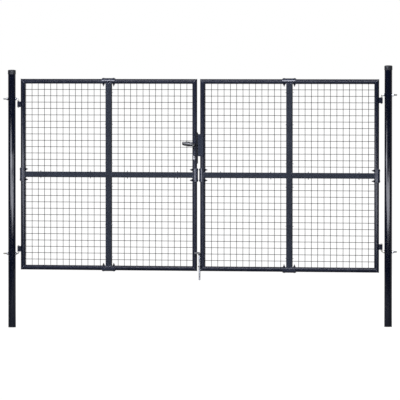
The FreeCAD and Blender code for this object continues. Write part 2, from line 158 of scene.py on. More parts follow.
# %% A finish made of nodes
class Finish:
    """The nodes of a material, or of the world."""

    def __init__(self, owner):
        owner.use_nodes = True
        self.owner, self.tree = owner, owner.node_tree
        self.tree.nodes.clear()

    def node(self, kind, settings, sockets, out=0):
        """One node: its settings first, then the values or links of its sockets."""
        made = self.tree.nodes.new(kind)
        for name, value in settings.items():
            if name == "stops":
                for element, (place, level) in zip(made.color_ramp.elements, value):
                    element.position = place
                    element.color = (level, level, level, 1)
            else:
                setattr(made, name, value)
        for name, value in sockets.items():
            if isinstance(value, Value):
                self.tree.links.new(value.socket, made.inputs[name])
            else:
                made.inputs[name].default_value = value
        return Value(self, made.outputs[out]) if len(made.outputs) else None

    def place(self):
        """Where a point is, in metres, on the piece itself."""
        return self.node("ShaderNodeTexCoord", {}, {}, out="Object")

    def part(self, vector, letter):
        """The X, Y or Z of a vector."""
        return self.node("ShaderNodeSeparateXYZ", {}, {0: vector}, out=letter)

    def facing_up(self):
        """1 where a surface looks up, and 0 where it is upright."""
        return self.part(self.node("ShaderNodeNewGeometry", {}, {}, out="Normal"), "Z")

    def noise(self, size_mm, detail=3.0, rough=0.5, stretch=(1, 1, 1)):
        """Cloudy noise whose spots are about size_mm wide, drawn out by stretch."""
        where = self.place() * tuple(1 / s for s in stretch)
        sockets = {"Vector": where, "Scale": 1000 / size_mm, "Detail": detail, "Roughness": rough}
        return self.node("ShaderNodeTexNoise", {}, sockets)

    def bump(self, height, strength, distance_mm, under=None):
        """A bump from a height, on top of another one."""
        sockets = {"Height": height, "Strength": strength, "Distance": distance_mm * MM}
        if under is not None:
            sockets["Normal"] = under
        return self.node("ShaderNodeBump", {}, sockets)

    def done(self, **sockets):
        """The Principled shader with these sockets, set by their names."""
        named = {name.replace("_", " "): value for name, value in sockets.items()}
        shader = self.node("ShaderNodeBsdfPrincipled", {}, named)
        self.node("ShaderNodeOutputMaterial", {}, {"Surface": shader})
        return self.owner


print("helpers:", ", ".join(n for n in vars(Finish) if not n.startswith("_")))

# %% [markdown]
# ## Powder coat
# The tubes are sprayed with charged powder and baked at about 180 degrees. The coat is a satin,
# blue-black anthracite with a fine orange peel: shallow dimples about a millimetre and a half wide.
# It could be a plain glossy paint, but then the long tubes would look like plastic pipe. So the
# colour drifts a little, pale flecks of metal lie in the coat, dust settles on what faces up, and
# the roughness follows the dust.
#
# The coat is set deeper or paler for each tube family. The posts are the darkest and smoothest, which
# gives their long highlight crisp ends, and the hinge stiles come next. Flat tube and keeper are matt.
# The lock's coat is near-black, which is painted shade. Coat that has run over a weld is lumpy and
# shines, and it is paler, which is a painted highlight.

# %% The coat of posts, frames and mesh
PALE_COAT = from_srgb(70, 73, 84)
METAL_FLECK = from_srgb(150, 155, 168)
DUST = from_srgb(150, 146, 138)


def shaded(colour, factor):
    """A colour made deeper or paler by a factor."""
    return tuple(c * factor for c in colour[:3]) + (1,)


def powder_coat(where, colour, roughness, gloss, dust, peel, drift):
    """Baked powder with orange peel, flecks, drifting colour and dust on upward faces."""
    coat = Finish(bpy.data.materials.new("powder coat " + where))
    cloud = coat.noise(180, detail=4)
    streak = coat.noise(26, stretch=(1, 1, 14))
    fleck = coat.noise(0.9, detail=1).ramp((0.66, 0.0), (0.74, 1.0))
    settled = coat.facing_up().ramp((0.35, 0.0), (0.95, 1.0))
    settled = settled * coat.noise(45, detail=6).ramp((0.3, 0.1), (0.75, 1.0))
    base = cloud.ramp((0.3, 0.0), (0.7, 1.0)).pick(shaded(colour, 0.82), shaded(colour, 1.2))
    base = (streak.ramp((0.5, 0.0), (0.85, 1.0)) * drift).pick(base, PALE_COAT)
    base = (fleck * 0.04).pick(base, METAL_FLECK)
    base = (settled * dust).pick(base, DUST)
    rough = streak * 0.10 + cloud * 0.06 + settled * 0.22 + (roughness - 0.08)
    skin = coat.bump(coat.noise(1.6, detail=2), peel, 0.12)
    skin = coat.bump(coat.noise(60, detail=2), 0.10, 0.5, under=skin)
    return coat.done(Base_Color=base, Roughness=rough, Normal=skin, Specular_IOR_Level=gloss)


# where, colour, roughness, gloss, dust, peel, drift
COATS = {
    "post": ("on the posts", from_srgb(8, 12, 22), 0.085, 0.30, 0.06, 0.03, 0.04),
    "frame": ("on rails and meeting stiles", from_srgb(26, 28, 36), 0.20, 0.08, 0.08, 0.05, 0.10),
    "hinge stile": ("on hinge stiles", from_srgb(17, 20, 29), 0.16, 0.20, 0.08, 0.04, 0.10),
    "flat": ("on flat tube", from_srgb(26, 30, 37), 0.60, 0.12, 0.10, 0.12, 0.10),
    "wire": ("on mesh wire", from_srgb(12, 14, 16), 0.55, 0.06, 0.05, 0.10, 0.10),
    "saddle": ("on saddles", from_srgb(28, 32, 43), 0.22, 0.40, 0.08, 0.12, 0.10),
    "keeper": ("on the keeper", from_srgb(26, 30, 39), 0.60, 0.12, 0.08, 0.12, 0.10),
    # the lock coat's near-black is painted shade; nuts, bolts and lock screws share it
    "lock": ("on the lock", from_srgb(6, 8, 15), 0.55, 0.15, 0.05, 0.12, 0.10),
    # the weld coat is paler than the tube as a painted highlight; the clips share it
    "weld": ("over weld", from_srgb(38, 42, 54), 0.30, 0.70, 0.08, 0.30, 0.10),
}
finishes = {key: powder_coat(*values) for key, values in COATS.items()}
print(len(finishes), "coats:", ", ".join(m.name for m in finishes.values()))

# %% [markdown]
# ## Zinc and nickel
# The hook bolts, their nuts and the drop rod are electroplated with zinc. Such plate is bright but
# never a mirror: it has a faint blue and straw bloom, drawing lines along the bar, and dull white
# marks where rain has started to work on it. The rod slides in its guides, so its plate is more even
# and more matt. The key cylinder is satin nickel, brushed in one direction. One grey metal could
# serve for all three, but side by side in the sun they differ clearly.

# %% Plated metals
STRAW = from_srgb(206, 198, 170)
WHITE_RUST = from_srgb(214, 214, 210)


def plated_metal(name, bright, dull, roughness, line_stretch, bloom):
    """Plated steel: bright and dull patches, fine drawing lines and a little colour bloom."""
    plate = Finish(bpy.data.materials.new(name))
    patch = plate.noise(14, detail=5, rough=0.6).ramp((0.38, 0.0), (0.68, 1.0))
    lines = plate.noise(1.3, detail=2, stretch=line_stretch)
    tint = plate.noise(22, detail=2).ramp((0.4, 0.0), (0.62, 1.0))
    rust = plate.noise(5, detail=6, rough=0.7).ramp((0.64, 0.0), (0.74, 1.0))
    base = (tint * bloom).pick(patch.pick(bright, dull), STRAW)
    base = (rust * 0.4).pick(base, WHITE_RUST)
    rough = patch * 0.14 + lines * 0.12 + rust * 0.25 + (roughness - 0.1)
    skin = plate.bump(lines, 0.12, 0.05)
    return plate.done(Base_Color=base, Metallic=1 - rust * 0.5, Roughness=rough, Normal=skin)


finishes["zinc"] = plated_metal("bright zinc plate", from_srgb(146, 148, 151), from_srgb(104, 107, 111),
                                0.30, line_stretch=(12, 12, 1), bloom=0.35)
finishes["rod_zinc"] = plated_metal("zinc plate on the rod", from_srgb(148, 151, 157),
                                    from_srgb(130, 133, 140), 0.48, line_stretch=(1, 1, 12), bloom=0.15)
finishes["nickel"] = plated_metal("satin nickel", from_srgb(124, 124, 126), from_srgb(92, 92, 94),
                                  0.34, line_stretch=(1, 10, 1), bloom=0.03)
print("plated:", ", ".join(finishes[k].name for k in ("zinc", "rod_zinc", "nickel")))

# %% [markdown]
# ## Moulded plastic
# Caps and levers are moulded in black plastic. The mould gives a fine even grain, and hands polish
# the lever where they hold it. The colour is lifted a little towards grey on faces that look up, and
# in soft patches. One flat black would do from far away, but close up it would look like a hole in
# the picture.

# %% Black plastic
UPWARD_GREY = from_srgb(78, 79, 82)


def moulded_plastic(name, colour, roughness, grain_mm, grain_depth, gloss=0.5):
    """Grained plastic, a little greyer on faces that look up."""
    plastic = Finish(bpy.data.materials.new(name))
    cloud = plastic.noise(30)
    upward_lift = plastic.facing_up().ramp((0.2, 0.0), (0.9, 1.0)) * 0.25 + cloud * 0.12
    grain = plastic.noise(grain_mm, detail=2)
    rough = grain * 0.10 + cloud * 0.10 + (roughness - 0.1)
    skin = plastic.bump(grain, grain_depth, 0.08)
    return plastic.done(Base_Color=upward_lift.pick(colour, UPWARD_GREY), Roughness=rough, Normal=skin,
                        Specular_IOR_Level=gloss)


finishes["cap"] = moulded_plastic("black cap plastic", from_srgb(16, 18, 22), 0.42,
                                  grain_mm=0.7, grain_depth=0.15, gloss=0.30)
finishes["lever"] = moulded_plastic("black lever plastic", from_srgb(7, 7, 9), 0.22,
                                    grain_mm=0.5, grain_depth=0.10, gloss=0.34)
# near-black plastic here is painted shade for the hollow of the key's slot
finishes["dark"] = moulded_plastic("shadow inside the keyway", from_srgb(6, 6, 7), 0.60,
                                   grain_mm=0.5, grain_depth=0.10)
print("plastics:", ", ".join(finishes[k].name for k in ("cap", "lever", "dark")))

# %% [markdown]
# ## Finishes for the solids
# The tubes, lock case, keeper and drop rod have the right shape already, so they stay as solids and
# only get a finish. It could be chosen by hand for each, but a node's name says what it is, so a few
# names and words are enough, and what is left over is frame.

# %% Give each solid its finish
SHARP_SOLID = 32
FINISH_OF_NODE = {"left_post": "post", "right_post": "post", "lever_spindle": "zinc",
                  "drop_rod": "rod_zinc", "lock_cylinder": "nickel", "lock_bolts": "nickel",
                  "front_lever": "lever", "back_lever": "lever", "lock_case": "lock",
                  "lock_keeper": "keeper"}
FINISH_OF_WORD = {"cap": "cap", "foot": "cap", "hook": "zinc", "nuts": "zinc", "divider": "flat",
                  "middle_rail": "flat", "saddles": "saddle", "hinge_stile": "hinge stile",
                  "mesh": "wire"}


def finish_for(node):
    """The finish of a node: the one for its whole name, or for the first known word in it."""
    words = [word for word in FINISH_OF_WORD if word in node]
    return FINISH_OF_NODE.get(node) or (FINISH_OF_WORD[words[0]] if words else "frame")


for name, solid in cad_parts.items():
    solid.data.materials.clear()
    solid.data.materials.append(finishes[finish_for(name)])
    solid.data.shade_smooth()
    solid.data.set_sharp_from_angle(angle=math.radians(SHARP_SOLID))
print("finished", len(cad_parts), "solids")

# %% [markdown]
# ## Rings of points
# Nearly everything here is a bar, bent or straight, or something turned, and each of these is a row
# of rings with faces between them. Blender's own cylinders could be bent by modifiers, but a thread
# or a weld ripple needs a hand on every ring. So small makers build rings and the faces over them.

# %% Rings and the faces between them
def across(axis):
    """Two directions that are square to an axis and to each other."""
    side = axis.orthogonal().normalized()
    return side, axis.cross(side)


def ring(centre, side, other, reach, count):
    """Points round a centre. reach is a number, or a function of the angle."""
    points = []
    for k in range(count):
        angle = TURN * k / count
        far = reach(angle) if callable(reach) else reach
        points.append(centre + (side * math.cos(angle) + other * math.sin(angle)) * far)
    return points


def band(first, second, count):
    """Faces between two rings, given by the numbers of their first points."""
    pairs = [(k, (k + 1) % count) for k in range(count)]
    return [(first + k, first + after, second + after, second + k) for k, after in pairs]


def skin(rings, count, loop=False):
    """Faces over a row of rings, which is closed into a loop or else gets a lid on each end."""
    faces = []
    for step in range(rings if loop else rings - 1):
        faces += band(step * count, (step + 1) % rings * count, count)
    lids = [tuple(reversed(range(count))), tuple((rings - 1) * count + k for k in range(count))]
    return faces if loop else faces + lids


print("two rings of 12 points take", len(skin(2, 12)), "faces")

# %% [markdown]
# ## Sweeps and lathe work
# A sweep carries a ring along a path without twisting it. Its radius may change from point to point,
# which gives threads, weld ripples and rounded ends. A lathe turns a profile round an axis, and a
# bored shape is one that goes round a hole, such as a washer. A curve object with a bevel would sweep
# as well, but its radius couldn't follow a thread.

# %% Sweep and lathe
def sweep(path, radius, sides=12, closed=False):
    """A bar along path. radius is a number, or a function of the step and the angle."""
    count = len(path)
    points = []
    direction = (path[1] - path[-1 if closed else 0]).normalized()
    side = direction.orthogonal().normalized()
    for step, centre in enumerate(path):
        ahead = path[(step + 1) % count] if closed else path[min(step + 1, count - 1)]
        behind = path[step - 1] if closed or step else path[0]
        direction = (ahead - behind).normalized()
        side = (side - direction * side.dot(direction)).normalized()
        reach = (lambda angle: radius(step, angle)) if callable(radius) else radius
        points += ring(centre, side, direction.cross(side), reach, sides)
    return points, skin(count, sides, closed)


def lathe(profile, centre, axis, sides=32):
    """A closed turned shape from (radius, height) pairs that start and end on the axis."""
    side, other = across(axis)
    points = [centre + axis * profile[0][1], centre + axis * profile[-1][1]]
    faces = []
    rings = profile[1:-1]
    for reach, height in rings:
        points += ring(centre + axis * height, side, other, reach, sides)
    for step in range(len(rings) - 1):
        faces += band(2 + step * sides, 2 + (step + 1) * sides, sides)
    last = 2 + (len(rings) - 1) * sides
    for k in range(sides):
        after = (k + 1) % sides
        faces += [(0, 2 + after, 2 + k), (1, last + k, last + after)]
    return points, faces


def bored(rings, centre, axis, count):
    """A shape round a hole, from (radius, height) pairs that go round its section."""
    side, other = across(axis)
    points = []
    for reach, height in rings:
        points += ring(centre + axis * height, side, other, reach, count)
    return points, skin(len(rings), count, loop=True)


print("a straight bar of two rings has", len(sweep([Vector(), UP], 1)[1]), "faces")

# %% [markdown]
# ## From lists to pieces
# A piece is one object that rides on one body of the gate, so small things on the same body are
# joined into one piece. Its faces must look out, or they render dark and print inside out. That is
# hard to get right by hand, so Blender's own tool turns them.

# %% Join, turn out and place
def joined(*shapes):
    """Several shapes as one list of points and faces."""
    points, faces = [], []
    for more_points, more_faces in shapes:
        start = len(points)
        points += more_points
        faces += [tuple(start + k for k in face) for face in more_faces]
    return points, faces


def outward(made):
    """Turns every shell of an object so that its faces look out."""
    work = bmesh.new()
    work.from_mesh(made.data)
    bmesh.ops.recalc_face_normals(work, faces=work.faces)
    work.to_mesh(made.data)
    work.free()


def piece(name, shape, finish, body, sharp=35.0):
    """A finished object from a shape, riding on a body of the gate."""
    mesh = bpy.data.meshes.new(name)
    mesh.from_pydata([tuple(p) for p in shape[0]], [], shape[1])
    mesh.validate()
    mesh.materials.append(finishes[finish])
    mesh.shade_smooth()
    mesh.set_sharp_from_angle(angle=math.radians(sharp))
    made = bpy.data.objects.new(name, mesh)
    bpy.context.scene.collection.objects.link(made)
    outward(made)
    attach(made, body)
    return made


def line(start, end, steps):
    """Points from start to end, both counted."""
    return [start.lerp(end, k / steps) for k in range(steps + 1)]


def in_mm(pairs):
    """(radius, height) pairs in millimetres, turned into metres."""
    return [(radius * MM, height * MM) for radius, height in pairs]


print("a line of 4 steps has", len(line(Vector(), UP, 4)), "points")

# %% [markdown]
# ## Welded mesh
# The infill is a garden mesh of 4 mm round wire on a 50 mm square pitch. Level wires lie against the
# tubes, upright wires behind them, and each crossing is pressed together and spot-welded, which
# leaves a small swelling. A texture of lines could stand for it, but it would have no depth from the
# side. So every wire is swept, and its radius swells at each crossing. The hand-fed welder also
# leaves the wires a hair off the grid.

# %% Sweep the wires of the eight panels
PITCH = 50 * MM
WIRE = 2.0 * MM
SWELL = 0.16
SWELL_REACH = 5 * MM
BITE = 0.6 * MM
WANDER = 0.35 * MM
END_TAPER = 0.8
END_LENGTH = 0.6 * MM


def wire(start, end, crossings, rng):
    """One wire with a swelling at each crossing and slightly bowed bays between them."""
    stops, radii = [start], [WIRE * END_TAPER]
    along = (end - start).normalized()
    sideways = along.cross(BACK).normalized()
    off = sideways * rng.uniform(-WANDER, WANDER)
    for spot in crossings:
        bow = sideways * rng.uniform(-WANDER, WANDER)
        stops += [spot + off - along * SWELL_REACH, spot + off, spot + off + along * SWELL_REACH,
                  spot + off + bow + along * PITCH / 2]
        radii += [WIRE, WIRE * (1 + SWELL), WIRE, WIRE]
    stops[-1] = end - along * END_LENGTH
    stops.append(end)
    radii.append(WIRE * END_TAPER)
    return sweep(stops, lambda step, angle: radii[step], sides=8)


def mesh_panel(node):
    """Both layers of wire of one panel, laid where the packed node is."""
    low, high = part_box(node)
    centre = middle(node)
    columns = int((high.x - low.x - 2 * WIRE) / PITCH)
    rows = int((high.z - low.z - 2 * WIRE) / PITCH)
    xs = [centre.x + (k - columns / 2) * PITCH for k in range(columns + 1)]
    zs = [centre.z + (k - rows / 2) * PITCH for k in range(rows + 1)]
    level_y, upright_y = low.y + WIRE, low.y + 3 * WIRE - BITE
    rng = random.Random(node)
    wires = [wire(Vector((low.x, level_y, z)), Vector((high.x, level_y, z)),
                  [Vector((x, level_y, z)) for x in xs], rng) for z in zs]
    wires += [wire(Vector((x, upright_y, low.z)), Vector((x, upright_y, high.z)),
                   [Vector((x, upright_y, z)) for z in zs], rng) for x in xs]
    return joined(*wires)


for side in ("left", "right"):
    for level in ("upper", "lower"):
        for part in ("hinge_side", "meeting_side"):
            node = "%s_%s_%s_mesh" % (side, level, part)
            panel = piece(node.replace("_mesh", "_wires"), mesh_panel(node), "wire", side + "_leaf")
            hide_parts(node)
print("eight panels, the last of", len(panel.data.polygons), "faces")

# %% [markdown]
# ## Weld beads
# Tube meets tube at mitred corners, and flat tube sits on round tube. Each joint is welded all round
# before coating, and the bead shows through the coat as a row of overlapping scales. A bump map
# could draw the scales but not the raised line of the bead against the light. So a bead is a sweep
# along the joint's own line, with a radius that rises and falls every few millimetres.

# %% Make a bead
BEAD = 1.9 * MM
SMALL_BEAD = BEAD * 0.85
SCALE = 3.2 * MM
STEPS_A_SCALE = 4
RIPPLE = 0.22
SUNK = 0.5 * MM
PROUD = 0.3 * MM
MITRE_STEPS = 48
EDGE_STEPS = 12


def bead(path, size=BEAD):
    """A closed weld bead with scales along a path, resampled evenly."""
    loop = path + path[:1]
    lengths = [0.0]
    for a, b in zip(loop, loop[1:]):
        lengths.append(lengths[-1] + (b - a).length)
    count = max(8, int(lengths[-1] / (SCALE / STEPS_A_SCALE)))
    places, k = [], 0
    for step in range(count):
        want = lengths[-1] * step / count
        while k < len(lengths) - 2 and lengths[k + 1] < want:
            k += 1
        share = (want - lengths[k]) / max(lengths[k + 1] - lengths[k], 1e-9)
        places.append(loop[k].lerp(loop[k + 1], share))

    def scaly(step, angle):
        return size * (1 - RIPPLE + RIPPLE * abs(math.sin(math.pi * step / STEPS_A_SCALE)))

    return sweep(places, scaly, 8, closed=True)


print("a bead is", round(2000 * BEAD, 1), "mm wide")

# %% Lay the beads of both leaves
CORNERS = ((-1, -1), (1, -1), (1, 1), (-1, 1))


def mitre_bead(corner, way_x, way_z, tube_radius):
    """Bead in the slanted plane of a mitred corner. corner is where the tubes' axes meet."""
    path = []
    for k in range(MITRE_STEPS):
        angle = TURN * k / MITRE_STEPS
        out, deep = math.cos(angle) * (tube_radius - SUNK), math.sin(angle) * (tube_radius - SUNK)
        path.append(corner + Vector((way_x * out, deep, way_z * out)))
    return bead(path)


def foot_bead(centre, half_width, half_depth, tube_radius, toward, along):
    """Bead where a flat tube sits on a round one. toward points into the flat one."""
    path = []
    for (a, b), (c, d) in zip(CORNERS, CORNERS[1:] + CORNERS[:1]):
        for k in range(EDGE_STEPS):
            share = k / EDGE_STEPS
            u = (a + (c - a) * share) * half_width
            y = (b + (d - b) * share) * half_depth
            reach = math.sqrt(max(tube_radius ** 2 - y ** 2, 0))
            path.append(centre + along * u + BACK * y + toward * (reach + PROUD))
    return bead(path, SMALL_BEAD)


def leaf_beads(side):
    """All the beads of one leaf."""
    meeting = "left_lock_stile" if side == "left" else "right_meeting_stile"
    radius = half(side + "_hinge_stile").y
    xs = sorted([middle(side + "_hinge_stile").x, middle(meeting).x])
    zs = [middle(side + "_bottom_rail").z, middle(side + "_top_rail").z]
    beads = [mitre_bead(Vector((x, 0, z)), way_x, way_z, radius)
             for x, way_x in zip(xs, (-1, 1)) for z, way_z in zip(zs, (-1, 1))]
    divider_x, rail_z = middle(side + "_divider").x, middle(side + "_middle_rail").z
    half_width, half_depth = half(side + "_divider").xy
    half_rail = half(side + "_middle_rail").z
    for z, way in zip(zs, (1, -1)):
        foot = Vector((divider_x, 0, z))
        beads.append(foot_bead(foot, half_width, half_depth, radius, UP * way, RIGHT))
    for x, way in zip(xs, (1, -1)):
        foot = Vector((x, 0, rail_z))
        beads.append(foot_bead(foot, half_rail, half_depth, radius, RIGHT * way, UP))
    for way in (-1, 1):
        x = divider_x + way * (half_width + 0.2 * MM)
        beads.append(bead([Vector((x, b * half_depth * 0.9, rail_z + a * half_rail * 0.92))
                           for a, b in CORNERS], SMALL_BEAD))
    return joined(*beads)


for side in ("left", "right"):
    # the paler weld coat on the beads is a painted highlight
    beads = piece(side + "_leaf_welds", leaf_beads(side), "weld", side + "_leaf", sharp=70)
    print(side, "leaf welds:", len(beads.data.polygons), "faces")

# %% [markdown]
# ## Hook bolts with real threads
# Each leaf hangs on two hook bolts: a 12 mm bar, threaded at one end, that passes through the post
# and is bent up or down into the hinge pin. The thread is cut only on the straight part. A bump map
# would give its lines but not its sawtooth edge, which is what one sees against the light, so the
# radius of the sweep follows the thread's own helix, and fades out before the bend.

# %% Bend and thread the hook bolts
THREAD = 1.75 * MM
THREAD_DEPTH = 0.9 * MM
RINGS_A_TURN = 6
BEND = 15 * MM
BEND_STEPS = 10
UNTHREADED = 8 * MM
BLUNT, TIP_LENGTH = 1.3 * MM, 1.5 * MM


def helix(step, angle):
    """How deep a thread is cut at a step along the bar: 0 at its crest and 1 at its root."""
    return abs(2 * ((step / RINGS_A_TURN - angle / TURN) % 1) - 1)


def hook_bolt(node, level, way_x):
    """Threaded, bent bolt in the place of a packed hook. way_x points from the post to the leaf."""
    low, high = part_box(node)
    radius = half(node).y
    way_z = 1 if level == "lower" else -1
    bolt_z, tip_z = (low.z + radius, high.z) if way_z > 0 else (high.z - radius, low.z)
    tail_x, pin_x = (low.x, high.x - radius) if way_x > 0 else (high.x, low.x + radius)
    start = Vector((tail_x, 0, bolt_z))
    bend_start = Vector((pin_x - way_x * BEND, 0, bolt_z))
    thread_end = bend_start - RIGHT * way_x * UNTHREADED
    rings = int((thread_end - start).length / (THREAD / RINGS_A_TURN))
    path = line(start, thread_end, rings) + line(thread_end, bend_start, 3)[1:]
    hub = bend_start + UP * way_z * BEND
    for k in range(1, BEND_STEPS + 1):
        angle = math.pi / 2 * k / BEND_STEPS
        path.append(hub + RIGHT * way_x * BEND * math.sin(angle) - UP * way_z * BEND * math.cos(angle))
    tip = Vector((pin_x, 0, tip_z))
    path += [tip - UP * way_z * TIP_LENGTH, tip]
    last = len(path) - 1

    def reach(step, angle):
        if step in (0, last):
            return radius - BLUNT
        if step > rings:
            return radius
        return radius - THREAD_DEPTH * min(1, (rings - step) / 12, step / 4) * helix(step, angle)

    return sweep(path, reach, sides=18)


for side, way_x in (("left", 1), ("right", -1)):
    for level in ("lower", "upper"):
        node = "%s_%s_hinge_hook" % (side, level)
        bolt = piece(node + "_bolt", hook_bolt(node, level, way_x), "zinc", "posts")
        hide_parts(node)
print("four hook bolts of about", len(bolt.data.polygons), "faces")

# %% [markdown]
# ## Nuts and washers
# A nut on each side of the post clamps the hook bolt, with a washer under it. The nut between post
# and leaf is a thin one, as there is little room. A nut could be a plain six-sided prism, but real
# ones have their corners turned off, and that round chamfer is what catches the light.

# %% Fit nuts and washers to the posts
BAR_RADIUS = 6 * MM
WASHER_RADIUS, WASHER_BORE, WASHER_THICK = 12 * MM, 6.1 * MM, 2.5 * MM
NUT_FLATS, NUT_BORE = 18 * MM, 5.2 * MM
THIN_NUT, FULL_NUT = 5 * MM, 10 * MM


def hexagon(face, way, across_flats, thickness, bore):
    """Hexagon nut with chamfered corners round a bore, its near face at the point face."""
    chamfer = across_flats * 0.475

    def flat(angle):
        return across_flats / 2 / math.cos((angle + TURN / 12) % (TURN / 6) - TURN / 12)

    section = ((bore, 0.0), (chamfer, 0.0), (flat, 0.12), (flat, 0.88), (chamfer, 1.0), (bore, 1.0))
    return bored([(reach, share * thickness) for reach, share in section], face, way, 24)


def washer(face, way, outer, bore, thickness):
    """Flat washer with slightly rounded rims."""
    edge = thickness * 0.2
    top = thickness - edge
    section = ((bore + edge, 0), (outer - edge, 0), (outer, edge), (outer, top),
               (outer - edge, thickness), (bore + edge, thickness), (bore, top), (bore, edge))
    return bored(section, face, way, 28)


for side, way_x in (("left", 1), ("right", -1)):
    post_x, post_radius = middle(side + "_post").x, half(side + "_post").x
    shapes = []
    for level in ("lower", "upper"):
        low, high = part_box("%s_%s_hinge_hook" % (side, level))
        bolt_z = low.z + BAR_RADIUS if level == "lower" else high.z - BAR_RADIUS
        for way in (-1, 1):
            face = Vector((post_x + way * post_radius, 0, bolt_z))
            shapes.append(washer(face, RIGHT * way, WASHER_RADIUS, WASHER_BORE, WASHER_THICK))
            shapes.append(hexagon(face + RIGHT * way * WASHER_THICK, RIGHT * way, NUT_FLATS,
                                  THIN_NUT if way == way_x else FULL_NUT, NUT_BORE))
    nuts = piece(side + "_post_nuts_and_washers", joined(*shapes),
                 "zinc", "posts", sharp=25)
    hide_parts(side + "_hinge_nuts")
print("nuts and washers:", len(nuts.data.polygons), "faces a post")

# %% [markdown]
# ## Caps of posts
# Rain must stay out of the tube, so a moulded cap is pressed over each post, and a flatter one closes
# the foot. Such caps are turned shapes with soft edges, a small step above the skirt and a low dome.
# A squashed sphere on a cylinder would be quicker, but it would lack the skirt and its shadow line.

# %% Turn the caps
INNER_DEPTH = 7.5
SKIRT = ((2.2, 0), (0.4, 0), (0, 0.4), (0, 3.4), (0.5, 4.0))
SHOULDER = ((0.5, 8.0), (0.8, 6.2), (1.8, 4.9), (3.4, 4.1))
DOME_INSET, DOME_RISE = (v * MM for v in SHOULDER[-1])
DOME_STEPS = 9

for side in ("left", "right"):
    low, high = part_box(side + "_post_cap")
    outer, tall = (high.x - low.x) / 2, high.z - low.z
    inner_top = tall - INNER_DEPTH * MM
    profile = [(0, inner_top), (outer - 2.4 * MM, inner_top)]
    profile += [(outer - inset * MM, height * MM) for inset, height in SKIRT]
    profile += [(outer - inset * MM, tall - depth * MM) for inset, depth in SHOULDER]
    for k in range(1, DOME_STEPS):
        angle = math.pi / 2 * k / DOME_STEPS
        profile.append(((outer - DOME_INSET) * math.cos(angle), tall - DOME_RISE * (1 - math.sin(angle))))
    profile.append((0, tall))
    foot = Vector(((low.x + high.x) / 2, (low.y + high.y) / 2, low.z))
    cap = piece(side + "_post_dome_cap", lathe(profile, foot, UP, 64), "cap", "posts")
    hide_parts(side + "_post_cap")
print("caps", round(2000 * outer, 1), "mm across and", round(1000 * tall, 1), "mm tall")

# %% [markdown]
# ## The lever
# The lever is a single moulding: a round hub over the square spindle and a grip that bows gently
# upwards to a blunt tip. An extruded outline would have hard edges. The grip is lofted instead:
# sections follow the bowed line, each a little slimmer than an oval, so that they peak in a soft
# ridge along the middle. Each section's height and rise come from a few stations along the lever,
# and the last few millimetres close in a quarter round.

# %% Loft the levers
STATIONS = ((0.0, 24.0, 0.8), (0.15, 24.0, 0.8), (0.45, 32.5, 5.0), (0.75, 29.8, 8.5), (1.0, 26.0, 12.0))
TIP_ROUND = 6 * MM
GRIP_HALF = 7 * MM
RIDGE = 1.2
SECTION_POINTS = 24
HUB_FOOT = ((0, 0), (12, 0), (13, 0.8), (13, 6), (11.6, 7.5), (11, 14))
HUB_HEAD = ((11.2, 16), (12.4, 9), (12.6, 3), (11.4, 0.8), (8, 0), (0, 0))


def station(share):
    """Height and rise of the grip at a share of its length, smoothly between the stations."""
    for (near, *sizes), (far, *next_sizes) in zip(STATIONS, STATIONS[1:]):
        if share <= far:
            part = (share - near) / (far - near)
            part = part * part * (3 - 2 * part)
            return [(a + (b - a) * part) * MM for a, b in zip(sizes, next_sizes)]
    return [size * MM for size in STATIONS[-1][1:]]


def lever(node, way):
    """Hub and grip of one lever. way is -1 on the front and 1 on the back."""
    low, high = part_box(node)
    axis = middle("lever_spindle")
    outer_y, inner_y = (low.y, high.y) if way < 0 else (high.y, low.y)
    grip_y = outer_y - way * GRIP_HALF
    length = axis.x - low.x
    spots = [length * k / 20 for k in range(18)]
    spots += [length - TIP_ROUND * (1 - math.sin(math.pi / 2 * k / 8)) for k in range(9)]
    points = []
    for spot in spots:
        height, rise = station(spot / length)
        drop = max(0, spot - (length - TIP_ROUND))
        inset = TIP_ROUND - math.sqrt(max(TIP_ROUND ** 2 - drop ** 2, 0))
        half_height, half_thick = height / 2 - inset, GRIP_HALF - inset * 0.9
        for k in range(SECTION_POINTS):
            angle = TURN * k / SECTION_POINTS
            c, s = (math.copysign(abs(v) ** RIDGE, v) for v in (math.cos(angle), math.sin(angle)))
            points.append(Vector((axis.x - spot, grip_y + half_thick * c,
                                  axis.z + rise + half_height * s)))
    grip = points, skin(len(spots), SECTION_POINTS)
    reach = abs(outer_y - inner_y)
    profile = in_mm(HUB_FOOT) + [(radius * MM, reach - depth * MM) for radius, depth in HUB_HEAD]
    return joined(grip, lathe(profile, Vector((axis.x, inner_y, axis.z)), BACK * way, 36))


for node, way in (("front_lever", -1), ("back_lever", 1)):
    made = piece(node + "_moulding", lever(node, way), "lever", "lever", sharp=60)
    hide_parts(node)
print("levers reach", round(2000 * half("front_lever").x), "mm")

# %% [markdown]
# ## Bolts through the saddles
# Rails and stiles come in halves, for packing. They meet under a saddle and two bolts clamp each
# joint. From inside the frame one sees the nut, its washer and the threaded end of the bolt. On the
# outer side the head is a low dome. Nuts and bolts take the lock's near-black coat, deeper than the
# tube, as painted shade. The makers of the larger nuts and threads serve again at a smaller size.

# %% Fit the saddle bolts
BOLT_SPREAD = 41 * MM
BOLT_END = 20 * MM
BOLT_RADIUS, BOLT_GROOVE, BOLT_STEPS = 4 * MM, 0.6 * MM, 84
PLATE_RADIUS, PLATE_THICK = 10 * MM, 2 * MM
SMALL_FLATS, SMALL_NUT, SMALL_BORE = 14 * MM, 8 * MM, 3.6 * MM
BOLT_HEAD = ((0, -1.0), (7.6, -1.0), (8, 0.2), (7, 1.3), (4.6, 2.2), (0, 2.6))


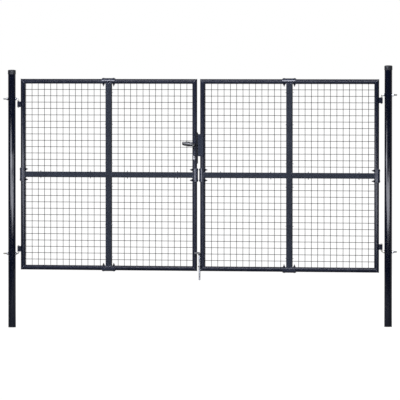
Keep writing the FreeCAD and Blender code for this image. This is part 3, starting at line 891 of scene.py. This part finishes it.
def saddle_bolt(centre, away, tube_radius, saddle_radius):
    """One bolt through saddle and tube, at a point on the tube's axis. away points out of the frame."""
    inner = centre - away * (tube_radius - SUNK)
    path = line(inner - away * MM, inner - away * BOLT_END, BOLT_STEPS)
    head = centre + away * (saddle_radius - 0.6 * MM)
    return [washer(inner, -away, PLATE_RADIUS, BOLT_RADIUS, PLATE_THICK),
            hexagon(inner - away * PLATE_THICK, -away, SMALL_FLATS, SMALL_NUT, SMALL_BORE),
            sweep(path, lambda step, angle: BOLT_RADIUS - BOLT_GROOVE * helix(step, angle), sides=14),
            lathe(in_mm(BOLT_HEAD), head, away, 28)]


for side in ("left", "right"):
    shapes = []
    joint = Vector((middle(side + "_divider").x, 0, middle(side + "_middle_rail").z))
    saddle_low, saddle_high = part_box(side + "_frame_saddles")
    hinge_x = middle(side + "_hinge_stile").x
    meeting_x = saddle_low.x + saddle_high.x - hinge_x
    radii = half(side + "_top_rail").y, -saddle_low.y
    spots = [(Vector((joint.x, 0, middle(side + "_top_rail").z)), UP, RIGHT),
             (Vector((joint.x, 0, middle(side + "_bottom_rail").z)), -UP, RIGHT)]
    for x in (hinge_x, meeting_x):
        spots.append((Vector((x, 0, joint.z)), RIGHT * math.copysign(1, x - joint.x), UP))
    for centre, away, along in spots:
        for offset in (-BOLT_SPREAD, BOLT_SPREAD):
            shapes += saddle_bolt(centre + along * offset, away, *radii)
    # the near-black lock coat on these bolts is painted shade
    bolts = piece(side + "_saddle_bolts", joined(*shapes), "lock", side + "_leaf", sharp=30)
print("saddle bolts:", len(bolts.data.polygons), "faces a leaf")

# %% [markdown]
# ## Clips that hold the mesh
# The mesh lies on the back of the frame. Small hooks of thick wire stand on the edges of the flat
# tubes, curl over the nearest mesh wire and are coated with everything else. They sit in pairs on
# both edges of the divider and of the middle rail, evenly about the middle of the leaf.

# %% Bend the clips
DIVIDER_CLIPS = (91, 395, 645)
RAIL_CLIPS = (148, 548)
CLIP_WIRE, CLIP_SUNK, CLIP_SHANK, CLIP_AHEAD = 2.0 * MM, 1.5 * MM, 6 * MM, 4 * MM
CURL_CENTRE, CURL_REACH, CURL_DEPTH = 3.0 * MM, 5.0 * MM, 5.2 * MM
CURL_START, CURL_SWEEP, CURL_STEPS = -0.35, 1.15, 12


def clip(spot, into):
    """A small wire hook at a tube's edge. into points from the tube into the opening."""
    path = [spot - into * CLIP_SUNK - BACK * CLIP_SHANK]
    for k in range(CURL_STEPS + 1):
        angle = math.pi * (CURL_START + CURL_SWEEP * k / CURL_STEPS)
        out, back = CURL_CENTRE + CURL_REACH * math.cos(angle), CURL_DEPTH * math.sin(angle)
        path.append(spot + into * out + BACK * back)
    return sweep(path, CLIP_WIRE, sides=8)


for side in ("left", "right"):
    shapes = []
    divider_low, divider_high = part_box(side + "_divider")
    rail_low, rail_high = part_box(side + "_middle_rail")
    joint = Vector((middle(side + "_divider").x, 0, middle(side + "_middle_rail").z))
    back_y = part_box(side + "_upper_hinge_side_mesh")[0].y - CLIP_AHEAD
    for height in DIVIDER_CLIPS:
        for z in (joint.z - height * MM, joint.z + height * MM):
            for x, into in ((divider_low.x, -RIGHT), (divider_high.x, RIGHT)):
                shapes.append(clip(Vector((x, back_y, z)), into))
    for reach in RAIL_CLIPS:
        for x in (joint.x - reach * MM, joint.x + reach * MM):
            for z, into in ((rail_high.z, UP), (rail_low.z, -UP)):
                shapes.append(clip(Vector((x, back_y, z)), into))
    # the clips take the paler weld coat, a painted highlight
    piece(side + "_mesh_clips", joined(*shapes), "weld", side + "_leaf", sharp=60)
print("clips:", len(shapes), "a leaf")

# %% [markdown]
# ## Key cylinder and screws
# The lock is let into the stile, so only its edge, the screws that hold it and the two ends of the
# key cylinder show. The plug of a cylinder is a small disc with a rim and a kinked slot for the key.
# The slot is a thin near-black block set just proud of the plug: painted shade for its hollow. A
# mark in the finish would not stay sharp from every side.

# %% Make plug, keyway and screws
PLUG = ((0, -0.5), (6.6, -0.5), (6.8, 0.3), (6.2, 0.9), (5.6, 0.6), (0, 0.6))
PLUG_DROP = 8.5 * MM
SLOT = ((-0.8, 3.8), (0.8, 3.8), (0.8, 0.9), (1.6, 0.2), (0.8, -0.7), (0.8, -4.2), (-0.8, -4.2),
        (-0.8, -0.2), (-1.5, 0.6), (-0.8, 1.3))
SLOT_PROUD = (0.55, 0.68)
SCREW_RADIUS, SCREW_HEIGHT = 4.2 * MM, 2.1 * MM
SCREW_RIM = ((1.0, 0), (1.0, 0.35), (0.88, 0.75), (0.62, 1))
RECESS_CORE, RECESS_TOP, RECESS_FLOOR = 0.16, 0.5, 0.42
SCREW_POINTS = 32


def cross(share):
    """Outline of a cross with four lobes that reach a share of the screw's radius."""
    lobe = share - RECESS_CORE
    return lambda angle: SCREW_RADIUS * (RECESS_CORE + lobe * abs(math.cos(2 * angle)) ** 3)


def screw_head(centre, way):
    """Low round screw head: a rim, a slope and a flat top with a cross recess."""
    side, other = across(way)
    rings = [(share * SCREW_RADIUS, height) for share, height in SCREW_RIM]
    rings += [(cross(RECESS_TOP), 1), (cross(RECESS_FLOOR), 0.35)]
    points = []
    for reach, height in rings:
        points += ring(centre + way * SCREW_HEIGHT * height, side, other, reach, SCREW_POINTS)
    return points, skin(len(rings), SCREW_POINTS)


def keyway(centre, way):
    """A short, slightly kinked upright block just proud of the plug, near-black as painted shade for the
    key's slot.
    """
    points = [centre + Vector((x, way.y * proud, z)) * MM for proud in SLOT_PROUD for x, z in SLOT]
    return points, skin(2, len(SLOT))


print("a screw head has", len(screw_head(Vector(), UP)[1]), "faces")

# %% Fit them to lock and keeper
CASE_INSET, KEEPER_INSET, KEEPER_ASIDE = 12 * MM, 14 * MM, 6 * MM

low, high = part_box("lock_cylinder")
plug_x, plug_z = (low.x + high.x) / 2, high.z - PLUG_DROP
ends = [(Vector((plug_x, y, plug_z)), way) for y, way in ((low.y, -BACK), (high.y, BACK))]
piece("key_plugs", joined(*[lathe(in_mm(PLUG), centre, way, 36) for centre, way in ends]),
      "nickel", "left_leaf", sharp=30)
piece("keyways", joined(*[keyway(centre, way) for centre, way in ends]),
      "dark", "left_leaf", sharp=30)
case_low, case_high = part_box("lock_case")
stile_x, stile_y = middle("left_lock_stile").x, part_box("left_lock_stile")[1].y - 0.4 * MM
screws = [screw_head(Vector((stile_x, way * stile_y, z)), BACK * way)
          for z in (case_high.z - CASE_INSET, case_low.z + CASE_INSET) for way in (-1, 1)]
piece("lock_screws", joined(*screws), "lock", "left_leaf", sharp=40)
keeper_low, keeper_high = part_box("lock_keeper")
keeper_x = middle("lock_keeper").x + KEEPER_ASIDE
screws = [screw_head(Vector((keeper_x, y, z)), BACK * way)
          for z in (keeper_high.z - KEEPER_INSET, keeper_low.z + KEEPER_INSET)
          for y, way in ((keeper_low.y, -1), (keeper_high.y, 1))]
piece("keeper_screws", joined(*screws), "frame", "right_leaf", sharp=40)
print("plug at", round(plug_x, 3), round(plug_z, 3))

# %% [markdown]
# ## A plain studio
# The gate stands on a pale floor, as a maker would photograph it. Floor and world look white to the
# camera, but do not throw that much light on the gate. More lamps would turn them white as well, but
# bleach the gate. Reflections see the white only behind the gate, as the room in front of it, where
# a photographer stands, is darker.

# %% Floor and world
FLOOR_REACH = 140.0
FLOOR_DROP = 2 * MM
FLOOR_GREY = (0.22, 0.22, 0.22, 1)
WHITE = (1, 1, 1, 1)
FLOOR_GLOW, GLOW_SHARE = 1.25, 0.8
ROOM_LIGHT, BACKDROP_LIGHT = 0.15, 1.0
FLOOR_FADE, SKY_FADE = 2.0, 0.5


def sees_white(finish, behind):
    """1 for camera rays, and for mirrored and refracted rays by how far they go behind the gate."""
    camera, mirrored, refracted = (finish.node("ShaderNodeLightPath", {}, {}, out="Is %s Ray" % kind)
                                   for kind in ("Camera", "Glossy", "Transmission"))
    return (camera + (mirrored + refracted) * behind).clamped()


floor_mesh = bpy.data.meshes.new("studio_floor")
floor_mesh.from_pydata([(x * FLOOR_REACH, y * FLOOR_REACH, 0) for x, y in CORNERS], [], [(0, 1, 2, 3)])
floor = bpy.data.objects.new("studio_floor", floor_mesh)
bpy.context.scene.collection.objects.link(floor)
floor.location.z = -FLOOR_DROP
ground = Finish(bpy.data.materials.new("pale studio floor"))
white = sees_white(ground, (ground.part(ground.place(), "Y") / FLOOR_FADE).clamped())
lit = ground.node("ShaderNodeBsdfPrincipled", {}, {"Base Color": FLOOR_GREY, "Roughness": 0.9})
glow = ground.node("ShaderNodeEmission", {}, {"Color": WHITE, "Strength": FLOOR_GLOW})
mixed = ground.node("ShaderNodeMixShader", {}, {0: white * GLOW_SHARE, 1: lit, 2: glow})
ground.node("ShaderNodeOutputMaterial", {}, {"Surface": mixed})
floor_mesh.materials.append(ground.owner)

sky = Finish(bpy.data.worlds.new("studio"))
bpy.context.scene.world = sky.owner
direction = sky.node("ShaderNodeTexCoord", {}, {}, out="Generated")
white = sees_white(sky, (sky.part(direction, "Y") / SKY_FADE).clamped())
room, backdrop = (sky.node("ShaderNodeBackground", {}, {"Color": WHITE, "Strength": strength})
                  for strength in (ROOM_LIGHT, BACKDROP_LIGHT))
both = sky.node("ShaderNodeMixShader", {}, {0: white, 1: room, 2: backdrop})
sky.node("ShaderNodeOutputWorld", {}, {"Surface": both})
print("floor", 2 * FLOOR_REACH, "m across")

# %% [markdown]
# ## Lamps
# Round tube shows a lamp as a long bright line, so the lamps' shapes matter more than their power. Two
# low, wide bands light the front. The left one stands higher, and they give each post a highlight
# that starts and ends where its lamp does. A thin strip adds the brighter line at lever height,
# and a large lamp overhead lights the tops. The key and the lamp behind only fill shadows, so they
# are left out of reflections. One huge lamp would draw the same even line on every tube.

# %% Set the lamps
SKY_TINT = (0.88, 0.90, 1.0)
GATE_MIDDLE = (1.5, 0, 1.1)


def soft_lamp(name, place, target, size, power, colour=SKY_TINT):
    """A rectangular lamp that looks at a point."""
    data = bpy.data.lights.new(name, "AREA")
    data.shape = "RECTANGLE"
    data.size, data.size_y = size
    data.energy = power
    data.color = colour
    lamp = bpy.data.objects.new(name, data)
    bpy.context.scene.collection.objects.link(lamp)
    lamp.location = place
    lamp.visible_camera = False
    lamp.rotation_euler = (Vector(target) - Vector(place)).to_track_quat("-Z", "Y").to_euler()
    return lamp


for lamp in (soft_lamp("key", (2.0, -11.0, 4.5), GATE_MIDDLE, (5.0, 4.0), 60, WHITE[:3]),
             soft_lamp("back_fill", (0.5, 9.0, 4.0), GATE_MIDDLE, (4.0, 3.0), 550, WHITE[:3])):
    lamp.visible_glossy = False
soft_lamp("low_band_left", (-1.25, -5.0, 1.12), (-1.25, 0, 1.12), (3.6, 0.69), 93)
soft_lamp("low_band_right", (4.75, -5.0, 0.83), (4.75, 0, 0.83), (8.4, 0.42), 137)
soft_lamp("bright_strip", (0.9, -1.2, 1.28), (0.9, 0, 1.31), (3.0, 0.12), 6)
soft_lamp("overhead", (1.4, -5.0, 5.0), (1.5, 0, 1.5), (4.6, 2.4), 850)

# %% [markdown]
# ## Camera
# The gate is seen almost square on, from far away with a long lens: its uprights stay parallel and the
# right end is only a little larger than the left. Place, turn and lens were worked out from the
# frame's corners, so that the solids land where they should in a square picture.

# %% Set the camera
SENSOR = 36
PICTURE_PIXELS = 400
FOCAL_PIXELS = 4964.7
LOOK_DOWN, ROLL, LOOK_LEFT = 1.753, -0.006, 11.437

eye = bpy.data.cameras.new("eye")
eye.sensor_width = SENSOR
eye.lens = FOCAL_PIXELS / PICTURE_PIXELS * SENSOR
eye.clip_end = 300
camera = bpy.data.objects.new("eye", eye)
camera.location = (9.194, -37.984, 2.198)
camera.rotation_euler = (math.radians(90 - LOOK_DOWN), math.radians(ROLL), math.radians(LOOK_LEFT))
bpy.context.scene.collection.objects.link(camera)
bpy.context.scene.camera = camera
bpy.context.scene.view_settings.view_transform = "Standard"
print("lens", round(eye.lens, 1), "mm from", round(camera.location.length, 1), "m")

# %% [markdown]
